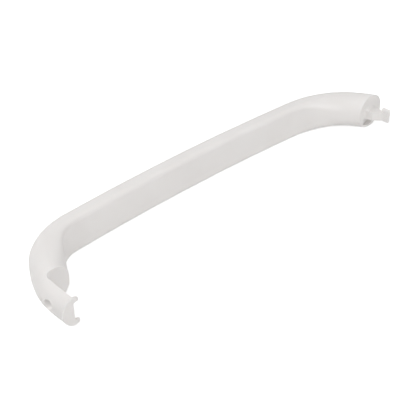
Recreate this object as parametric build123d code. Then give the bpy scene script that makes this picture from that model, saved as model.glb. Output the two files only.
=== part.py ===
from build123d import *
from math import cos, degrees, radians, sin, sqrt
import os

# One-piece moulded door handle, lying on its side as it comes to rest.
# +X runs along the grip from the screw end to the hook end, +Y points away from the door, +Z is up.
# The origin is where the screw's axis leaves the inner face of the tongue that wraps round the door's edge.

# Grip: flat towards the fingers, rounded away from them, and bowed a little outwards
GRIP_HEIGHT = 27.0
GRIP_OUTER_DEPTH = 6.6
GRIP_INNER_DEPTH = 8.4
GRIP_CORNER = 3.6
GRIP_STANDOFF = 41.2
GRIP_BOW_RADIUS = 1680.0
GRIP_SCREW_SIDE = 92.5
GRIP_HOOK_SIDE = 121.5

# Legs: oval, and cut off by the face of the door
LEG_OUTER_DEPTH = 11.5
LEG_INNER_DEPTH = 11.5
LEG_ROUNDNESS = 0.95
HOOK_BEND_RADIUS = 67.0
HOOK_LEG_ANGLE = 61.0
SCREW_BEND_RADIUS = 38.3
SCREW_LEG_ANGLE = 60.7
WRAP_BEND_RADIUS = 54.5

# Run of the flat inner face past each end of the grip, and the length over which it rounds off
SCREW_FLAT_RUN = 34.0
SCREW_FLAT_FADE = 26.0
HOOK_FLAT_RUN = 2.0
HOOK_FLAT_FADE = 44.0

# Tongue that wraps round the door's edge
TONGUE_LENGTH = 28.0
TONGUE_STRAIGHT = 11.2
TONGUE_THICKNESS = 8.6
TONGUE_HEIGHT = 21.8
TONGUE_ROOT_RADIUS = 4.0
SCREW_SETBACK = 13.0

# Screw hole, sunk from the outside of the tongue
SCREW_HOLE_DIAMETER = 4.5
COUNTERSINK_DIAMETER = 10.4
SCREW_WEB = 4.4

# Prongs that grip behind the edge trim
PRONG_REACH = 3.5
PRONG_WIDTH = 1.6
PRONG_HEIGHT = 4.2
PRONG_TAPER = 0.8
PRONG_INSET = 0.2
PRONG_ROUND = 0.6

# Hook that slides into the slot in the door
HOOK_NECK_WIDTH = 9.3
HOOK_NECK_RISE = 2.3
HOOK_NECK_DROP = 4.3
HOOK_NECK_SHIFT = 0.8
HOOK_ROOT_RADIUS = 2.4
HOOK_REACH = 16.2
HOOK_SLOPE_START = 6.0
HOOK_TIP_LENGTH = 6.9
HOOK_TIP_THICKNESS = 2.8
HOOK_TIP_HEIGHT = 11.0
HOOK_TIP_SIDE_ROUND = 1.4
HOOK_TIP_CORNER = 0.6

# Pocket cored out of the leg under the hook's neck
POCKET_WALL = 1.6
POCKET_SIDE_WALL = 6.1
POCKET_DEPTH = 3.6

# Spacing of the cross-sections along the bar, and spare length of each body that is cut off or cuts
SECTION_SPACING = 10.0
OVERRUN = 12.0

# Depth that an added feature is rooted in the bar
ROOTING = 1.0

DOOR_FACE = SCREW_SETBACK
TONGUE_END = DOOR_FACE - TONGUE_LENGTH
TONGUE_MIDDLE = LEG_OUTER_DEPTH - TONGUE_THICKNESS
TALLEST = max(GRIP_HEIGHT, TONGUE_HEIGHT)


def centre_line():
    """Edges of the centre line, from beyond the tongue, along the grip, to beyond the hook leg's foot."""
    screw_turn = radians(SCREW_LEG_ANGLE)
    hook_turn = radians(HOOK_LEG_ANGLE)
    screw_side_turn = GRIP_SCREW_SIDE / GRIP_BOW_RADIUS
    hook_side_turn = GRIP_HOOK_SIDE / GRIP_BOW_RADIUS
    grip_top = DOOR_FACE + GRIP_STANDOFF
    screw_bend_top = grip_top - GRIP_BOW_RADIUS * (1 - cos(screw_side_turn))
    screw_bend_foot = screw_bend_top - SCREW_BEND_RADIUS * (cos(screw_side_turn) - cos(screw_turn))
    wrap_foot = TONGUE_END + TONGUE_STRAIGHT
    wrap_top = wrap_foot + WRAP_BEND_RADIUS * cos(screw_turn)
    screw_leg_length = (screw_bend_foot - wrap_top) / sin(screw_turn)
    hook_bend_top = grip_top - GRIP_BOW_RADIUS * (1 - cos(hook_side_turn))
    hook_bend_foot = hook_bend_top - HOOK_BEND_RADIUS * (cos(hook_side_turn) - cos(hook_turn))
    hook_leg_length = (hook_bend_foot - DOOR_FACE) / sin(hook_turn) + OVERRUN

    tongue = Line((TONGUE_MIDDLE, TONGUE_END - OVERRUN), (TONGUE_MIDDLE, wrap_foot))
    wrap = JernArc(tongue @ 1, tongue % 1, WRAP_BEND_RADIUS, SCREW_LEG_ANGLE - 90)
    screw_leg = Line(wrap @ 1, wrap @ 1 + (wrap % 1) * screw_leg_length)
    screw_bend_size = SCREW_LEG_ANGLE - degrees(screw_side_turn)
    screw_bend = JernArc(screw_leg @ 1, screw_leg % 1, SCREW_BEND_RADIUS, -screw_bend_size)
    grip_size = degrees(screw_side_turn + hook_side_turn)
    grip = JernArc(screw_bend @ 1, screw_bend % 1, GRIP_BOW_RADIUS, -grip_size)
    hook_bend_size = HOOK_LEG_ANGLE - degrees(hook_side_turn)
    hook_bend = JernArc(grip @ 1, grip % 1, HOOK_BEND_RADIUS, -hook_bend_size)
    hook_leg = Line(hook_bend @ 1, hook_bend @ 1 + (hook_bend % 1) * hook_leg_length)
    return tongue, wrap, screw_leg, screw_bend, grip, hook_bend, hook_leg


def section(point, tangent, roundness, corner_share, height):
    """Cross-section of the bar: both shares are 0 in the flat-faced grip and 1 in the oval leg."""
    outward = Vector(-tangent.Y, tangent.X, 0)
    plane = Plane(origin=point, x_dir=outward, z_dir=tangent)
    outer = GRIP_OUTER_DEPTH + (LEG_OUTER_DEPTH - GRIP_OUTER_DEPTH) * roundness
    inner = GRIP_INNER_DEPTH + (LEG_INNER_DEPTH - GRIP_INNER_DEPTH) * roundness
    half = height / 2
    corner_in = GRIP_CORNER + (LEG_ROUNDNESS * inner - GRIP_CORNER) * roundness
    corner_up = GRIP_CORNER + (LEG_ROUNDNESS * half - GRIP_CORNER) * corner_share
    flat = half - corner_up
    shelf = inner - corner_in
    outline = Wire(
        [
            EllipticalCenterArc((0, 0), outer, half, start_angle=-90, arc_size=180),
            Line((0, half), (-shelf, half)),
            EllipticalCenterArc((-shelf, flat), corner_in, corner_up, start_angle=90, arc_size=90),
            Line((-inner, flat), (-inner, -flat)),
            EllipticalCenterArc((-shelf, -flat), corner_in, corner_up, start_angle=180, arc_size=90),
            Line((-shelf, -half), (0, -half)),
        ]
    )
    return plane * make_face(outline)


def eased(distance, start, length):
    """Share of a change that is done at a distance along the centre line, gentle where it starts and ends."""
    share = min(max((distance - start) / length, 0), 1)
    return share * share * (3 - 2 * share)


def bar():
    """Solid bar through spaced sections: oval in the legs, flat-faced in the grip, lower at the tongue."""
    edges = centre_line()
    line = Wire(edges)
    tongue, wrap, screw_leg, screw_bend, grip = edges[:5]
    screw_bend_start = tongue.length + wrap.length + screw_leg.length
    grip_start = screw_bend_start + screw_bend.length
    grip_end = grip_start + grip.length
    screw_fade_start = grip_start - SCREW_FLAT_RUN - SCREW_FLAT_FADE
    count = round(line.length / SECTION_SPACING)
    sections = []
    for step in range(count + 1):
        place = step / count
        distance = place * line.length
        hook_share = eased(distance, grip_end + HOOK_FLAT_RUN, HOOK_FLAT_FADE)
        roundness = 1 - eased(distance, screw_bend_start, screw_bend.length) + hook_share
        corner_share = 1 - eased(distance, screw_fade_start, SCREW_FLAT_FADE) + hook_share
        raised = eased(distance, tongue.length, wrap.length)
        height = TONGUE_HEIGHT + (GRIP_HEIGHT - TONGUE_HEIGHT) * raised
        sections.append(section(line @ place, line % place, roundness, corner_share, height))
    return loft(sections)


def hook_foot():
    """Place along X where the hook leg's centre line meets the face of the door."""
    hook_leg = centre_line()[-1]
    return (hook_leg @ 1 - (hook_leg % 1) * OVERRUN).X


def room_of_door():
    """Space that the door and the view beyond the tongue take, with the root of the tongue left round."""
    far = hook_foot() + 2 * (LEG_OUTER_DEPTH + LEG_INNER_DEPTH)
    near = -2 * LEG_OUTER_DEPTH
    deep = TONGUE_END - 2 * OVERRUN
    beyond = [(near, deep), (near, TONGUE_END), (0, TONGUE_END)]
    door = [(0, DOOR_FACE), (far, DOOR_FACE), (far, deep)]
    face = make_face(Polyline(*beyond, *door, close=True))
    corner = face.vertices().group_by(Axis.Y)[-1].sort_by(Axis.X)[0]
    return extrude(fillet(corner, TONGUE_ROOT_RADIUS), TALLEST, both=True)


def prongs():
    """Pair of tapered prongs on the inner face of the tongue, at the corners of its end."""
    across = TONGUE_MIDDLE / LEG_OUTER_DEPTH
    top = TONGUE_HEIGHT / 2 * sqrt(1 - across**2) - PRONG_INSET
    bottom = top - PRONG_HEIGHT
    root = [(-ROOTING, bottom), (-ROOTING, top), (0, top)]
    tip = [(PRONG_REACH, top - PRONG_TAPER), (PRONG_REACH, bottom + PRONG_TAPER)]
    face = Plane(origin=(0, TONGUE_END + PRONG_WIDTH, 0), x_dir=(1, 0, 0), z_dir=(0, -1, 0))
    upper = extrude(face * make_face(Polyline(*root, *tip, (0, bottom), close=True)), PRONG_WIDTH)
    upper = fillet(upper.edges().filter_by(Axis.Y).group_by(Axis.X)[-1], PRONG_ROUND)
    return upper + mirror(upper, Plane.XY)


def screw_hole():
    """Clearance hole on the X axis with its countersink, as the body that is cut away."""
    hole = Cylinder(SCREW_HOLE_DIAMETER / 2, 2 * TONGUE_THICKNESS)
    sunk = TONGUE_THICKNESS - SCREW_WEB
    mouth = COUNTERSINK_DIAMETER - SCREW_HOLE_DIAMETER / 2
    head = Cone(mouth, SCREW_HOLE_DIAMETER / 2, 2 * sunk, align=(Align.CENTER, Align.CENTER, Align.MAX))
    return Rot(0, 90, 0) * (hole + Pos(0, 0, -SCREW_WEB) * head)


def hook():
    """Hook that stands out of the hook leg's foot: a flared neck that slopes to a thin, taller tip."""
    middle = hook_foot() - HOOK_NECK_SHIFT
    near = middle - HOOK_NECK_WIDTH / 2
    far = middle + HOOK_NECK_WIDTH / 2
    tip = far - HOOK_TIP_THICKNESS
    root = DOOR_FACE + ROOTING
    slope_start = DOOR_FACE - HOOK_SLOPE_START
    slope_end = slope_start - (tip - near)
    end = DOOR_FACE - HOOK_REACH
    flare = near - 2 * HOOK_ROOT_RADIUS
    seat = [(far, root), (flare, root), (flare, DOOR_FACE), (near, DOOR_FACE)]
    slope = [(near, slope_start), (tip, slope_end)]
    plan = make_face(Polyline(*seat, *slope, (tip, end), (far, end), close=True))
    bend = plan.vertices().sort_by_distance((near, DOOR_FACE))[0]
    plan = extrude(fillet(bend, HOOK_ROOT_RADIUS), GRIP_HEIGHT, both=True)

    rise = HOOK_NECK_RISE + 2 * HOOK_ROOT_RADIUS
    shelf = [(end, -HOOK_NECK_DROP), (root, -HOOK_NECK_DROP), (root, rise), (DOOR_FACE, rise)]
    profile = make_face(Polyline(*shelf, (DOOR_FACE, HOOK_NECK_RISE), (end, HOOK_NECK_RISE), close=True))
    bend = profile.vertices().sort_by_distance((DOOR_FACE, HOOK_NECK_RISE))[0]
    profile = Plane.YZ * fillet(bend, HOOK_ROOT_RADIUS)
    neck = plan & extrude(profile, 2 * far, both=True)

    align = (Align.MAX, Align.MIN, Align.CENTER)
    blade = Box(HOOK_TIP_THICKNESS, HOOK_TIP_LENGTH, HOOK_TIP_HEIGHT, align=align)
    blade = fillet(blade.edges().filter_by(Axis.X), HOOK_TIP_CORNER)
    blade = fillet(blade.edges().filter_by(Axis.Y).group_by(Axis.X)[0], HOOK_TIP_SIDE_ROUND)
    return neck + Pos(far, end, 0) * blade


def pocket():
    """Pocket under the hook's neck, sunk along the leg, with an even wall to the outline of the foot."""
    slant = sin(radians(HOOK_LEG_ANGLE))
    outer = LEG_OUTER_DEPTH / slant
    inner = LEG_INNER_DEPTH / slant
    middle = (outer - inner) / 2
    face = Plane(origin=(hook_foot(), DOOR_FACE - ROOTING, 0), x_dir=(1, 0, 0), z_dir=(0, 1, 0))
    oval = Pos(middle, 0) * Ellipse((outer + inner) / 2 - POCKET_WALL, GRIP_HEIGHT / 2 - POCKET_WALL)
    corner = (POCKET_SIDE_WALL - inner, HOOK_NECK_DROP)
    window = Pos(*corner) * Rectangle(2 * outer, GRIP_HEIGHT, align=(Align.MIN, Align.MIN))
    up_leg = -(centre_line()[-1] % 1)
    return extrude(face * (oval & window), (POCKET_DEPTH + ROOTING) / slant, dir=up_leg)


os.makedirs("parts", exist_ok=True)
handle = bar() - room_of_door()
handle = handle - pocket()
handle = handle + hook()
handle = handle + prongs()
handle = handle - screw_hole()
export_step(handle, "parts/handle.step")
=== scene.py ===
"""Looks of a moulded door handle: its finish, a pale floor, soft studio light and the camera."""

import logging
import math
from dataclasses import dataclass, field
from enum import Enum

import bpy
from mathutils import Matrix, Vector


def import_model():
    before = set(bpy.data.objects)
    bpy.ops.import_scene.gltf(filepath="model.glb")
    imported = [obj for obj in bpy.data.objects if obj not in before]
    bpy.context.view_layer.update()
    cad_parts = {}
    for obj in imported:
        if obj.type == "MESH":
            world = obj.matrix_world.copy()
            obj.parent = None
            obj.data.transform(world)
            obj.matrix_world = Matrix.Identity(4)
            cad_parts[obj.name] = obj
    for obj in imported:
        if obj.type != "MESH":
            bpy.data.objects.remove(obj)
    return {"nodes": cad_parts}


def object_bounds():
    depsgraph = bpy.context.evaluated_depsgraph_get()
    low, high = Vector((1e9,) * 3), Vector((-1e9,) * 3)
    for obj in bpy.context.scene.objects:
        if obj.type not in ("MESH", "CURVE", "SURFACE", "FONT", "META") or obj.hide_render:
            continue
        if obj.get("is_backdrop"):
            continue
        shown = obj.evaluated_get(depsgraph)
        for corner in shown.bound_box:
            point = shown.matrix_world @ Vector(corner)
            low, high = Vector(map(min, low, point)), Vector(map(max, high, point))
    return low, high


LOG = logging.getLogger("door_handle")
PHOTO_SIDE = 420
PURE_WHITE = (1.0, 1.0, 1.0, 1.0)
FULL_STRENGTH = 1.0
NOISE_WEAK = 0.3
NOISE_STRONG = 0.7

Colour = tuple[float, float, float]


def linear(colour: Colour) -> tuple[float, float, float, float]:
    """Turns a colour seen on a screen into the linear colour, with alpha, that a shader takes."""
    steps = [c / 12.92 if c <= 0.04045 else ((c + 0.055) / 1.055) ** 2.4 for c in colour]
    return (steps[0], steps[1], steps[2], 1.0)


def direction(azimuth: float, elevation: float) -> Vector:
    """Direction from the handle towards a lamp or camera.

    Args:
        azimuth: Turn about the vertical in degrees; 0 is in front, on the door's side.
        elevation: Angle above the horizon in degrees.

    Returns:
        A unit vector.
    """
    turn = math.radians(azimuth)
    rise = math.radians(elevation)
    across = math.cos(rise)
    return Vector((math.sin(turn) * across, -math.cos(turn) * across, math.sin(rise)))


class Ray(Enum):
    """Kinds of ray that see the plain white surroundings instead of the lit ones."""

    CAMERA = "Is Camera Ray"
    GLOSSY = "Is Glossy Ray"
    TRANSMISSION = "Is Transmission Ray"


@dataclass(frozen=True)
class Pattern:
    """Noise pattern: the size of its grains in metres, its finer layers and how strong they are."""

    grain: float
    layers: float
    rough: float


class NodeBench:
    """Small helper that adds nodes to one node tree and links them."""

    def __init__(self, tree: bpy.types.NodeTree) -> None:
        """Keeps the node tree of a material or a world and empties it."""
        self.tree = tree
        self.tree.nodes.clear()

    def add(self, kind: str, **values: object) -> bpy.types.Node:
        """Adds a node.

        Args:
            kind: Blender's name of the node's type.
            values: Properties of the node to set.

        Returns:
            The new node.
        """
        node = self.tree.nodes.new(kind)
        for name, value in values.items():
            setattr(node, name, value)
        return node

    def link(self, source: bpy.types.NodeSocket, target: bpy.types.NodeSocket) -> None:
        """Links an output to an input."""
        self.tree.links.new(source, target)

    def noise(self, place: bpy.types.NodeSocket, pattern: Pattern) -> bpy.types.NodeSocket:
        """Adds a noise pattern.

        Args:
            place: Coordinates in metres.
            pattern: The pattern's grain and layers.

        Returns:
            The pattern's strength, about 0.5 on average.
        """
        node = self.add("ShaderNodeTexNoise")
        node.inputs["Scale"].default_value = 1 / pattern.grain
        node.inputs["Detail"].default_value = pattern.layers
        node.inputs["Roughness"].default_value = pattern.rough
        self.link(place, node.inputs["Vector"])
        return node.outputs["Fac"]

    def spread(self, source: bpy.types.NodeSocket, low: float, high: float) -> bpy.types.NodeSocket:
        """Spreads the middle of a noise pattern over a range.

        Args:
            source: Strength of a noise pattern.
            low: Value at the pattern's weak places.
            high: Value at the pattern's strong places.

        Returns:
            The value between low and high.
        """
        node = self.add("ShaderNodeMapRange")
        node.inputs["From Min"].default_value = NOISE_WEAK
        node.inputs["From Max"].default_value = NOISE_STRONG
        node.inputs["To Min"].default_value = low
        node.inputs["To Max"].default_value = high
        self.link(source, node.inputs["Value"])
        return node.outputs["Result"]

    def relief(self, height: bpy.types.NodeSocket, depth: float) -> bpy.types.Node:
        """Adds a shallow relief to the surface.

        Args:
            height: Strength of a noise pattern.
            depth: Depth of the relief in metres.

        Returns:
            The relief's node: its Normal input takes a coarser relief, its Normal output gives both.
        """
        node = self.add("ShaderNodeBump")
        node.inputs["Strength"].default_value = FULL_STRENGTH
        node.inputs["Distance"].default_value = depth
        self.link(height, node.inputs["Height"])
        return node

    def any_of(self, rays: tuple[Ray, ...]) -> bpy.types.NodeSocket:
        """Tells rays of some kinds from all others.

        Args:
            rays: Kinds of ray.

        Returns:
            A socket that is 1 for these kinds of ray and 0 for others.
        """
        path = self.add("ShaderNodeLightPath")
        total = path.outputs[rays[0].value]
        for ray in rays[1:]:
            larger = self.add("ShaderNodeMath", operation="MAXIMUM")
            self.link(total, larger.inputs[0])
            self.link(path.outputs[ray.value], larger.inputs[1])
            total = larger.outputs[0]
        return total


@dataclass(frozen=True)
class MouldedPlastic:
    """Off-white satin plastic: slight flow marks in its colour, and a fine grain in its skin.

    The grain varies the gloss and lies as a relief on soft ripples. Lengths are in metres.
    """

    name: str = "moulded_plastic"
    pale: Colour = (0.931, 0.921, 0.914)
    warm: Colour = (0.919, 0.907, 0.898)
    gloss_low: float = 0.30
    gloss_high: float = 0.42
    specular: float = 0.5
    index: float = 1.52
    depth_share: float = 0.35
    depth_reach: tuple[float, float, float] = (1.0, 0.97, 0.94)
    depth_scale: float = 0.003
    flow: Pattern = Pattern(grain=0.045, layers=3.0, rough=0.55)
    skin: Pattern = Pattern(grain=0.0009, layers=2.0, rough=0.6)
    skin_depth: float = 0.000012
    ripple: Pattern = Pattern(grain=0.012, layers=1.0, rough=0.4)
    ripple_depth: float = 0.00006

    def material(self) -> bpy.types.Material:
        """Makes the material.

        Returns:
            A node-based material.
        """
        made = bpy.data.materials.new(self.name)
        made.use_nodes = True
        bench = NodeBench(made.node_tree)
        place = bench.add("ShaderNodeTexCoord").outputs["Object"]
        shader = bench.add("ShaderNodeBsdfPrincipled")
        shader.inputs["IOR"].default_value = self.index
        shader.inputs["Specular IOR Level"].default_value = self.specular
        shader.inputs["Subsurface Weight"].default_value = self.depth_share
        shader.inputs["Subsurface Radius"].default_value = self.depth_reach
        shader.inputs["Subsurface Scale"].default_value = self.depth_scale

        flow = bench.noise(place, self.flow)
        blend = bench.add("ShaderNodeMix", data_type="RGBA")
        blend.inputs["A"].default_value = linear(self.pale)
        blend.inputs["B"].default_value = linear(self.warm)
        bench.link(bench.spread(flow, 0.0, 1.0), blend.inputs["Factor"])
        bench.link(blend.outputs["Result"], shader.inputs["Base Color"])

        skin = bench.noise(place, self.skin)
        bench.link(bench.spread(skin, self.gloss_low, self.gloss_high), shader.inputs["Roughness"])

        ripple = bench.noise(place, self.ripple)
        wave = bench.relief(ripple, self.ripple_depth)
        grain = bench.relief(skin, self.skin_depth)
        bench.link(wave.outputs["Normal"], grain.inputs["Normal"])
        bench.link(grain.outputs["Normal"], shader.inputs["Normal"])

        output = bench.add("ShaderNodeOutputMaterial")
        bench.link(shader.outputs["BSDF"], output.inputs["Surface"])
        return made


@dataclass(frozen=True)
class FloorPaint:
    """Matt white paint that looks pure white to the camera and still takes a shadow."""

    name: str = "floor_paint"
    white: Colour = (0.93, 0.93, 0.93)
    seen_lift: float = 0.6
    mirrored_lift: float = 0.2

    def material(self) -> bpy.types.Material:
        """Makes the material.

        Returns:
            A node-based material.
        """
        made = bpy.data.materials.new(self.name)
        made.use_nodes = True
        bench = NodeBench(made.node_tree)
        matt = bench.add("ShaderNodeBsdfDiffuse")
        matt.inputs["Color"].default_value = linear(self.white)
        glow = bench.add("ShaderNodeEmission")
        glow.inputs["Color"].default_value = PURE_WHITE
        mirrored = bench.add("ShaderNodeMath", operation="MULTIPLY")
        mirrored.inputs[1].default_value = self.mirrored_lift
        bench.link(bench.any_of((Ray.GLOSSY,)), mirrored.inputs[0])
        total = bench.add("ShaderNodeMath", operation="MULTIPLY_ADD")
        total.inputs[1].default_value = self.seen_lift
        bench.link(bench.any_of((Ray.CAMERA, Ray.TRANSMISSION)), total.inputs[0])
        bench.link(mirrored.outputs[0], total.inputs[2])
        bench.link(total.outputs[0], glow.inputs["Strength"])
        both = bench.add("ShaderNodeAddShader")
        bench.link(matt.outputs["BSDF"], both.inputs[0])
        bench.link(glow.outputs["Emission"], both.inputs[1])
        output = bench.add("ShaderNodeOutputMaterial")
        bench.link(both.outputs["Shader"], output.inputs["Surface"])
        return made


@dataclass
class Handle:
    """The handle itself: one moulded piece."""

    node: str = "handle"
    finish: MouldedPlastic = field(default_factory=MouldedPlastic)

    def dress(self, nodes: dict[str, bpy.types.Object]) -> None:
        """Gives the moulded piece its finish.

        Args:
            nodes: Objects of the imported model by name.
        """
        piece = nodes[self.node]
        piece.data.materials.clear()
        piece.data.materials.append(self.finish.material())
        LOG.info("%s: %d faces, finish %s", piece.name, len(piece.data.polygons), self.finish.name)


@dataclass
class Floor:
    """Pale floor a tenth of a millimetre under the handle's lowest point. Lengths are in metres."""

    lowest: float
    gap: float = 0.0001
    side: float = 2.4
    paint: FloorPaint = field(default_factory=FloorPaint)

    def build(self) -> None:
        """Builds the floor and marks it as stage."""
        half = self.side / 2
        corners = [(-half, -half, 0.0), (half, -half, 0.0), (half, half, 0.0), (-half, half, 0.0)]
        mesh = bpy.data.meshes.new("floor")
        mesh.from_pydata(corners, [], [(0, 1, 2, 3)])
        mesh.materials.append(self.paint.material())
        piece = bpy.data.objects.new("floor", mesh)
        piece.location = (0.0, 0.0, self.lowest - self.gap)
        bpy.context.scene.collection.objects.link(piece)
        piece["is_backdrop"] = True
        LOG.info("floor: %.1f m wide at %.4f m", self.side, piece.location.z)


@dataclass(frozen=True)
class SoftBox:
    """One large square studio lamp: its direction in degrees, its power, its lengths in metres."""

    name: str
    azimuth: float
    elevation: float
    watts: float
    distance: float = 1.7
    side: float = 1.2

    def build(self, aim: Vector) -> None:
        """Hangs the lamp so that it faces a point.

        Args:
            aim: Point that the lamp faces.
        """
        lamp = bpy.data.lights.new(self.name, "AREA")
        lamp.shape = "SQUARE"
        lamp.size = self.side
        lamp.energy = self.watts
        piece = bpy.data.objects.new(self.name, lamp)
        back = direction(self.azimuth, self.elevation)
        piece.location = aim + back * self.distance
        piece.rotation_mode = "QUATERNION"
        piece.rotation_quaternion = (-back).to_track_quat("-Z", "Y")
        bpy.context.scene.collection.objects.link(piece)
        LOG.info("lamp %s: %.1f W", self.name, self.watts)


@dataclass
class Studio:
    """Soft light from all round, strongest from the left and in front, and a white world."""

    ambient: float = 0.08
    lamps: tuple[SoftBox, ...] = (
        SoftBox("low_front", azimuth=0.0, elevation=12.0, watts=14.2),
        SoftBox("low_behind", azimuth=180.0, elevation=12.0, watts=2.1),
        SoftBox("behind_left", azimuth=-120.0, elevation=45.0, watts=4.2),
        SoftBox("left", azimuth=-90.0, elevation=45.0, watts=10.6),
        SoftBox("front_right", azimuth=60.0, elevation=45.0, watts=4.4),
        SoftBox("behind_right", azimuth=135.0, elevation=45.0, watts=2.5),
        SoftBox("behind", azimuth=180.0, elevation=45.0, watts=3.1),
        SoftBox("high_left", azimuth=-90.0, elevation=75.0, watts=4.5),
    )

    def build(self, aim: Vector) -> None:
        """Hangs the lamps and paints the world.

        Args:
            aim: Point that the lamps face.
        """
        for lamp in self.lamps:
            lamp.build(aim)
        world = bpy.data.worlds.new("studio")
        world.use_nodes = True
        bench = NodeBench(world.node_tree)
        lit = bench.add("ShaderNodeBackground")
        lit.inputs["Strength"].default_value = self.ambient
        lit.inputs["Color"].default_value = PURE_WHITE
        seen = bench.add("ShaderNodeBackground")
        seen.inputs["Strength"].default_value = FULL_STRENGTH
        seen.inputs["Color"].default_value = PURE_WHITE
        choice = bench.add("ShaderNodeMixShader")
        bench.link(bench.any_of(tuple(Ray)), choice.inputs["Fac"])
        bench.link(lit.outputs["Background"], choice.inputs[1])
        bench.link(seen.outputs["Background"], choice.inputs[2])
        output = bench.add("ShaderNodeOutputWorld")
        bench.link(choice.outputs["Shader"], output.inputs["Surface"])
        bpy.context.scene.world = world
        bpy.context.scene.view_settings.view_transform = "Standard"


@dataclass
class PhotoCamera:
    """Camera at the photograph's angle: its place in metres, angles in degrees, sensor in mm."""

    place: tuple[float, float, float] = (-0.25523, -0.39150, 0.38864)
    azimuth: float = -44.264
    elevation: float = 35.138
    focal_pixels: float = 998.3
    sensor: float = 36.0

    def build(self) -> None:
        """Sets the scene's camera."""
        lens = bpy.data.cameras.new("camera")
        lens.sensor_width = self.sensor
        lens.lens = self.focal_pixels / PHOTO_SIDE * self.sensor
        piece = bpy.data.objects.new("camera", lens)
        piece.location = self.place
        piece.rotation_mode = "QUATERNION"
        back = direction(self.azimuth, self.elevation)
        piece.rotation_quaternion = (-back).to_track_quat("-Z", "Y")
        bpy.context.scene.collection.objects.link(piece)
        bpy.context.scene.camera = piece
        LOG.info("camera: lens %.2f mm", lens.lens)


def main() -> None:
    """Builds the scene in order and reports each piece."""
    logging.basicConfig(level=logging.INFO, format="%(name)s: %(message)s")
    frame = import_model()
    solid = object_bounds()
    low, high = solid
    Handle().dress(frame["nodes"])
    Floor(lowest=low.z).build()
    Studio().build((low + high) / 2)
    PhotoCamera().build()


if __name__ == "__main__":
    main()
